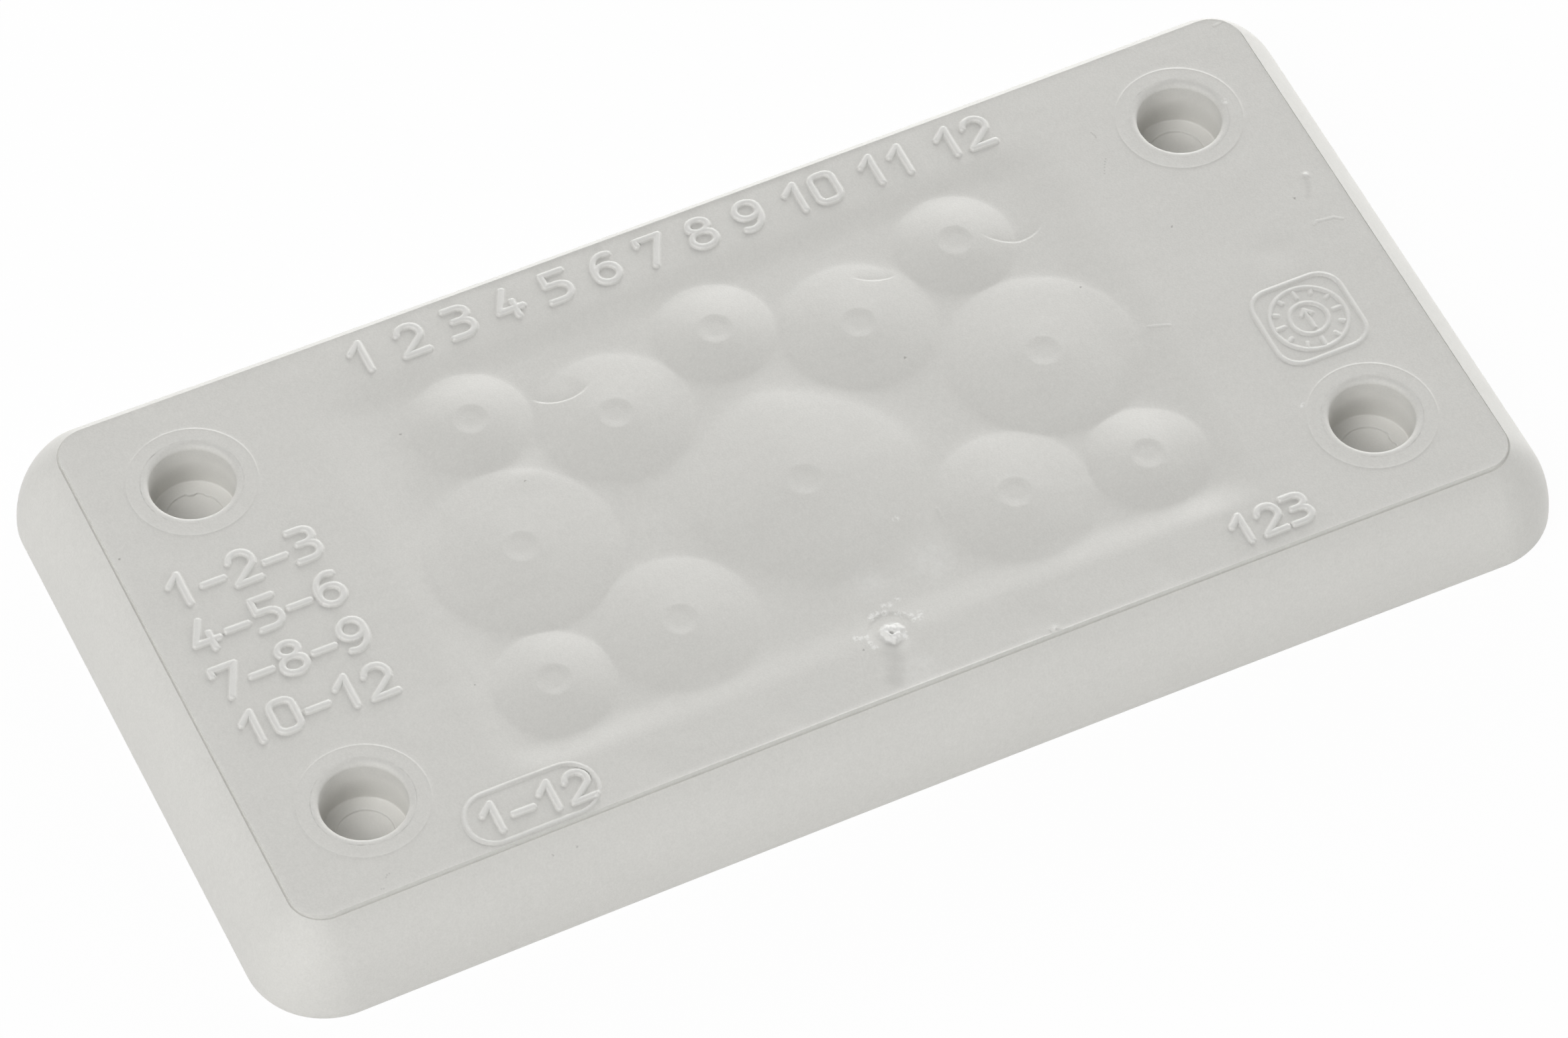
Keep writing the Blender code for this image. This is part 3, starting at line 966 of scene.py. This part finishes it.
def moulding():
    """The whole plate as one closed mesh."""
    body = body_below_face()
    bm = bmesh.new()
    bm.from_mesh(body.data)
    bpy.data.objects.remove(body)
    caps = [face for face in bm.faces if min(v.co.z for v in face.verts) > LIP_TOP - SLACK]
    bmesh.ops.delete(bm, geom=caps, context="FACES")
    edge = [vert for vert in bm.verts if vert.co.z > LIP_TOP - SLACK]
    x, y = np.array([vert.co[:2] for vert in edge]).T
    for vert, level in zip(edge, face_height(x, y).tolist()):
        vert.co.z = level
    corners, triangles = face_skin()
    made = [bm.verts.new(corner) for corner in corners.tolist()]
    skin = bm.faces.layers.int.new("skin")
    for triangle in triangles.tolist():
        bm.faces.new([made[i] for i in triangle])[skin] = 1
    for x, y in SCREWS:
        loops = add_loops(bm, head_recess(x, y))
        bm.faces.new(loops[-1])
    loose = [vert for vert in bm.verts if not vert.link_faces]
    bmesh.ops.delete(bm, geom=loose, context="VERTS")
    for vert in bm.verts:
        x, y, z = vert.co
        vert.co = Vector((x, bowed(x, y), z)) * MM
    bmesh.ops.remove_doubles(bm, verts=bm.verts, dist=WELD)
    bmesh.ops.recalc_face_normals(bm, faces=bm.faces)
    plate = object_of(bm, "plate_moulding")
    plate.data.shade_smooth()
    plate.data.set_sharp_from_angle(angle=SHARP_ANGLE)
    shade_face(plate.data)
    return plate


# Materials


class Signal:
    """A value that varies over a surface. Arithmetic on it adds Math nodes to its material."""

    def __init__(self, tree, socket=None):
        self.tree = tree
        self.socket = socket

    def node(self, kind, settings=(), sockets=(), output=0):
        """A new node's output: its settings are set first, then the values or links of sockets."""
        made = self.tree.nodes.new("ShaderNode" + kind)
        for name, setting in dict(settings).items():
            setattr(made, name, setting)
        for name, value in dict(sockets).items():
            if isinstance(value, Signal):
                self.tree.links.new(value.socket, made.inputs[name])
            else:
                made.inputs[name].default_value = value
        return Signal(self.tree, made.outputs[output] if made.outputs else None)

    def math(self, operation, one, other):
        return self.node("Math", {"operation": operation}, {0: one, 1: other})

    def vector_math(self, operation, one, other, output=0):
        return self.node("VectorMath", {"operation": operation}, {0: one, 1: other}, output)

    def __add__(self, other):
        return self.math("ADD", self, other)

    __radd__ = __add__

    def __sub__(self, other):
        return self.math("SUBTRACT", self, other)

    def __rsub__(self, other):
        return self.math("SUBTRACT", other, self)

    def __mul__(self, other):
        return self.math("MULTIPLY", self, other)

    __rmul__ = __mul__


def material(name):
    """A new material without nodes, as the material and a blank signal to add nodes to."""
    made = bpy.data.materials.new(name)
    made.use_nodes = True
    made.node_tree.nodes.clear()
    return made, Signal(made.node_tree)


def noise(start, place, size, detail=2.0, output=0):
    """Smooth noise from 0 to 1 whose humps are about a size in millimetres."""
    sockets = {"Vector": place, "Scale": 1 / (size * MM), "Detail": detail}
    return start.node("TexNoise", {}, sockets, output)


def mix_colours(start, share, one, other):
    """A mix of two colours, which a Mix node takes in its sockets 6 and 7 and gives in output 2."""
    return start.node("Mix", {"data_type": "RGBA"}, {0: share, 6: one, 7: other}, output=2)


# Colours
PLASTIC_LIGHT = (0.696, 0.689, 0.658, 1.0)
PLASTIC_DARK = (0.504, 0.498, 0.475, 1.0)
# Painted light: the paler colour of the screw holes' walls and floors
PAINTED_HOLE_LIGHT = (0.86, 0.85, 0.82, 1.0)
# Pale stress marks and patches, and the painted highlight on the tops of the raised strokes
STRESS_WHITE_AND_HIGHLIGHT = (0.80, 0.80, 0.78, 1.0)
# Dust and lint, and the painted shade in the gate stub's pit
DUST_AND_SHADE = (0.14, 0.13, 0.12, 1.0)
# Stains, and the pimple's painted shadow
STAIN_AND_SHADOW = (0.44, 0.435, 0.415, 1.0)
WHITE = (1.0, 1.0, 1.0, 1.0)
TABLE_LIGHT = (0.95, 0.95, 0.95, 1.0)
TABLE_DARK = (0.93, 0.93, 0.93, 1.0)
# Share of the table that is plain white to the camera, whatever shadow falls on it
TABLE_WHITE = 0.95

# Size of the grain of the plastic and height of its bumps, and size of the fray of small marks
GRAIN = 0.15
BUMP_HEIGHT = 0.022
FRAY = 0.3

# Raised strokes get a painted highlight: their tops are painted paler, as if they caught more light.
# That comes in between these heights over the face, and between these distances off its axes, where
# the face is flat.
PALE_RISE = (0.05, 0.12)
PALE_FROM_X = (31.5, 32.5)
PALE_FROM_Y = (19.3, 19.8)
# Light is painted into the screw holes: their walls and floors are made paler, as if more light
# reached into them. That fades out between these levels over the ledge, and between these distances
# past their wall.
PALE_OVER_LEDGE = (2.5, 4.0)
PALE_PAST_WALL = (0.1, 0.3)

# Small marks on the face: white stress marks round the gate and elsewhere, dust, lint, a dull smear,
# pale patches, and the pimple's shadow, painted as a dark streak
FLECKS = [
    (-0.9, -16.8), (0.3, -16.7), (0.5, -16.1), (1.9, -17.8), (2.6, -17.9), (-2.7, -18.0),
    (0.7, -19.45), (-0.7, -16.6), (-0.35, -16.55), (0.95, -16.2), (1.65, -16.0), (1.05, -17.1),
    (1.4, -17.45), (2.0, -18.3), (2.4, -18.35), (-1.9, -18.3), (-2.4, -18.2), (-2.0, -18.9),
    (-1.8, -19.4), (45.5, 16.0), (37.2, -12.9), (4.7, -9.5),
]
DUST_SPOTS = [
    (36.1, 6.7), (45.9, 5.2), (-29.9, -9.9), (-25.5, 13.7), (27.2, 4.5), (12.0, 3.9), (-18.9, 5.5),
    (-49.2, 11.7), (-2.7, -19.3), (-30.6, -25.3), (-28.7, -25.3),
]
LINT = [
    (34.65, 17.6), (34.7, 17.45), (34.77, 17.3), (34.8, 17.15), (34.77, 17.0), (34.5, 14.8),
    (34.35, 14.6), (34.2, 14.35), (34.05, 14.1), (33.9, 13.8), (33.77, 13.55), (45.97, 5.15),
    (45.92, 5.05), (-42.7, -22.8), (-42.55, -22.65), (-42.35, -22.6), (-43.4, -23.6), (-43.25, -23.65),
]
# Painted shadow: a dark streak that runs from the pimple towards the camera, where its shadow falls
PIMPLE_SHADOW = [(47.55, 6.1), (47.35, 5.7), (47.15, 5.3), (46.95, 4.9)]
SMEAR = [(-0.9, -20.2), (-0.9, -21.0), (-1.3, -21.8), (-1.7, -22.6)]
CLOUDS = [(0.4, -22.9), (0.2, -13.9), (5.5, -13.9)]


def marks(start, place, middles, inner, outer):
    """1 within a small distance of the nearest of some places and 0 beyond a larger one."""
    # The first distance is a metre, so every mark is nearer.
    nearest = 1.0
    for x, y in middles:
        away = start.vector_math("DISTANCE", place, (x * MM, y * MM, 0), output="Value")
        nearest = start.math("MINIMUM", away, nearest)
    ends = {"From Min": inner * MM, "From Max": outer * MM, "To Min": 1.0, "To Max": 0.0}
    return start.node("MapRange", {"interpolation_type": "SMOOTHSTEP"}, {"Value": nearest, **ends})


def ramp(start, value, low, high):
    """0 up to low and 1 from high."""
    return start.node("MapRange", {}, {"Value": value, "From Min": low, "From Max": high})


def along_axis(start, vector, axis):
    """One coordinate of a vector."""
    return start.node("SeparateXYZ", {}, {"Vector": vector}, output=axis)


def stroke_highlight_mask(start, place):
    """1 on the strokes that stand out of the flat parts of the face, where their highlight is painted.
    """
    sides = []
    for axis, ends in (("X", PALE_FROM_X), ("Y", PALE_FROM_Y)):
        away = start.math("ABSOLUTE", along_axis(start, place, axis), 0)
        sides.append(ramp(start, away, *(end * MM for end in ends)))
    rises = ((FACE_LEVEL + rise) * MM for rise in PALE_RISE)
    return ramp(start, along_axis(start, place, "Z"), *rises) * start.math("MAXIMUM", *sides)


def hole_light_mask(start, place, flat):
    """1 deep inside the screw holes, where light is painted into them."""
    levels = ((LEDGE + rise) * MM for rise in PALE_OVER_LEDGE)
    below = 1 - ramp(start, along_axis(start, place, "Z"), *levels)
    return marks(start, flat, SCREWS, *(HEAD_RADIUS + past for past in PALE_PAST_WALL)) * below


def facing_up(start):
    """1 on the face and 0 on the underside."""
    normal = start.node("NewGeometry", output="Normal")
    return start.node("Clamp", {}, {"Value": along_axis(start, normal, "Z")})


def flattened(start, place):
    """The place brought down to level 0."""
    return start.vector_math("MULTIPLY", place, (1, 1, 0))


def frayed_place(start, place):
    """The place at level 0, shifted a little by noise, so that marks get ragged edges."""
    shift = noise(start, place, FRAY, output="Color")
    shift = start.vector_math("SUBTRACT", shift, (0.5, 0.5, 0.5))
    shift = start.vector_math("MULTIPLY", shift, (FRAY * MM,) * 3)
    return flattened(start, start.vector_math("ADD", place, shift))


def plastic():
    """Light grey matte plastic with a fine mould grain, faint clouds, and small marks of its life, with
    painted light and shade: a highlight on the strokes' tops, paler hole insides, the pimple's shadow
    and shade in the gate's pit.
    """
    made, start = material("light_grey_plastic")
    place = start.node("TexCoord", output="Object")
    flat = flattened(start, place)
    frayed = frayed_place(start, place)
    up = facing_up(start)
    stub = marks(start, frayed, [(GATE_X, GATE_Y)], inner=0.75, outer=1.15) * up
    broken = ramp(start, noise(start, flat, size=0.3, detail=3.0), low=0.42, high=0.54)
    flecks = marks(start, frayed, FLECKS, inner=0.1, outer=0.36) * broken * up
    dust = marks(start, frayed, DUST_SPOTS, inner=0.03, outer=0.13) * up
    lint = marks(start, flat, LINT, inner=0.02, outer=0.11) * up
    pimple_shadow = marks(start, flat, PIMPLE_SHADOW, inner=0.05, outer=0.4) * up
    # Painted shade: the pit in the gate stub is darkened where shade falls
    pit = marks(start, frayed, [(GATE_X + PIT_X, GATE_Y + PIT_Y)], inner=0.02, outer=0.24)
    smear = marks(start, flat, SMEAR, inner=0.2, outer=1.1) * up
    clouds = marks(start, flat, CLOUDS, inner=0.4, outer=2.4) * up

    broad = noise(start, place, size=9.0)
    fine = noise(start, place, size=0.5, detail=4.0)
    grain = noise(start, place, size=GRAIN)
    streaks = start.node("Mapping", {}, {"Vector": place, "Rotation": (0, 0, 0.5), "Scale": (1, 4, 1)})
    wiped = noise(start, streaks, size=6.0, detail=4.0)
    mottle = 0.1 * broad + 0.25 * fine + 0.15 * wiped + 0.5 * grain
    colour = mix_colours(start, mottle, PLASTIC_DARK, PLASTIC_LIGHT)
    # Painted highlight: the tops of the raised strokes are painted paler
    colour = mix_colours(start, 0.35 * stroke_highlight_mask(start, place), colour, STRESS_WHITE_AND_HIGHLIGHT)
    # Painted light: the insides of the screw holes are painted paler
    colour = mix_colours(start, 0.45 * hole_light_mask(start, place, flat), colour, PAINTED_HOLE_LIGHT)
    # A dull smear below the gate, and the pimple's shadow painted as a dark streak
    colour = mix_colours(start, 0.35 * smear + 0.3 * pimple_shadow, colour, STAIN_AND_SHADOW)
    colour = mix_colours(start, 0.3 * clouds * fine, colour, STRESS_WHITE_AND_HIGHLIGHT)
    colour = mix_colours(start, 0.8 * stub + 0.7 * flecks, colour, STRESS_WHITE_AND_HIGHLIGHT)
    # Dust and lint, and painted shade that darkens the pit in the gate stub
    colour = mix_colours(start, 0.5 * dust + 0.25 * lint + 0.45 * pit, colour, DUST_AND_SHADE)

    peel = noise(start, place, size=2.6, detail=1.0)
    height = grain + 3.0 * peel + 3.0 * stub * fine
    bump = start.node("Bump", {}, {"Strength": 0.5, "Distance": BUMP_HEIGHT * MM, "Height": height})
    roughness = 0.52 + 0.12 * wiped + 0.1 * smear
    sockets = {"Base Color": colour, "Roughness": roughness, "Normal": bump, "IOR": 1.46}
    shader = start.node("BsdfPrincipled", {}, sockets)
    start.node("OutputMaterial", {}, {"Surface": shader})
    return made


def ray_kinds(start):
    """Three masks: 1 for rays from the camera, for those off a gloss and for those through glass."""
    kinds = ("Is Camera Ray", "Is Glossy Ray", "Is Transmission Ray")
    return [start.node("LightPath", output=kind) for kind in kinds]


def table_finish():
    """White table that shows nearly pure white to the camera, with the plate's soft shadow on it."""
    made, start = material("white_table")
    place = start.node("TexCoord", output="Object")
    paper = noise(start, place, size=30.0)
    matte = start.node("BsdfDiffuse", {}, {"Color": mix_colours(start, paper, TABLE_DARK, TABLE_LIGHT)})
    white = start.node("Emission", {}, {"Color": WHITE, "Strength": 1.0})
    seen, mirrored, through = ray_kinds(start)
    share = TABLE_WHITE * seen + mirrored + through
    shader = start.node("MixShader", {}, {0: share, 1: matte, 2: white})
    start.node("OutputMaterial", {}, {"Surface": shader})
    return made


# Stage


def table():
    """The plain table under the plate."""
    bm = bmesh.new()
    bmesh.ops.create_grid(bm, x_segments=1, y_segments=1, size=TABLE_HALF)
    floor = object_of(bm, "table")
    floor.data.materials.append(table_finish())


def softbox(name, bearing, height, level):
    """A square soft lamp a metre away, at a bearing from the camera's side, turning to the right.
    At level 1 it lights a face turned to it about as much as a plain white world does."""
    light = bpy.data.lights.new(name, "AREA")
    light.shape = "SQUARE"
    light.size = LAMP_SIZE
    light.energy = level * pi * pi
    lamp = placed(name, light)
    ahead = Vector(CAMERA_PLACE) - Vector(CAMERA_AIM)
    turn = np.arctan2(ahead.y, ahead.x) + radians(bearing)
    level_out = cos(radians(height))
    out = Vector((cos(turn) * level_out, sin(turn) * level_out, sin(radians(height))))
    lamp.location = out
    lamp.rotation_euler = out.to_track_quat("Z", "Y").to_euler()


def world_light():
    """Even light from all round, and plain white behind everything."""
    world = bpy.data.worlds.new("studio")
    world.use_nodes = True
    world.node_tree.nodes.clear()
    start = Signal(world.node_tree)
    seen, mirrored, through = ray_kinds(start)
    shine = start.node("Background", {}, {"Color": WHITE, "Strength": WORLD_LEVEL})
    white = start.node("Background", {}, {"Color": WHITE, "Strength": 1.0})
    shader = start.node("MixShader", {}, {0: seen + mirrored + through, 1: shine, 2: white})
    start.node("OutputWorld", {}, {"Surface": shader})
    bpy.context.scene.world = world


def camera():
    """The camera at the photograph's viewpoint."""
    made = bpy.data.cameras.new("camera")
    made.lens = CAMERA_LENS
    made.sensor_width = SENSOR_WIDTH
    made.clip_end = FARTHEST_SEEN
    obj = placed("camera", made)
    obj.location = Vector(CAMERA_PLACE) * MM
    look = (Vector(CAMERA_AIM) - Vector(CAMERA_PLACE)).to_track_quat("-Z", "Y")
    obj.rotation_euler = (look @ Quaternion((0, 0, 1), CAMERA_ROLL)).to_euler()
    bpy.context.scene.camera = obj


plate = moulding()
plate.data.materials.append(plastic())
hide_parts(NODE)
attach(plate, "root")

table()
for lamp_name, (bearing, height, level) in LAMPS.items():
    softbox(lamp_name, bearing, height, level)
world_light()
camera()
bpy.context.scene.view_settings.view_transform = "Standard"
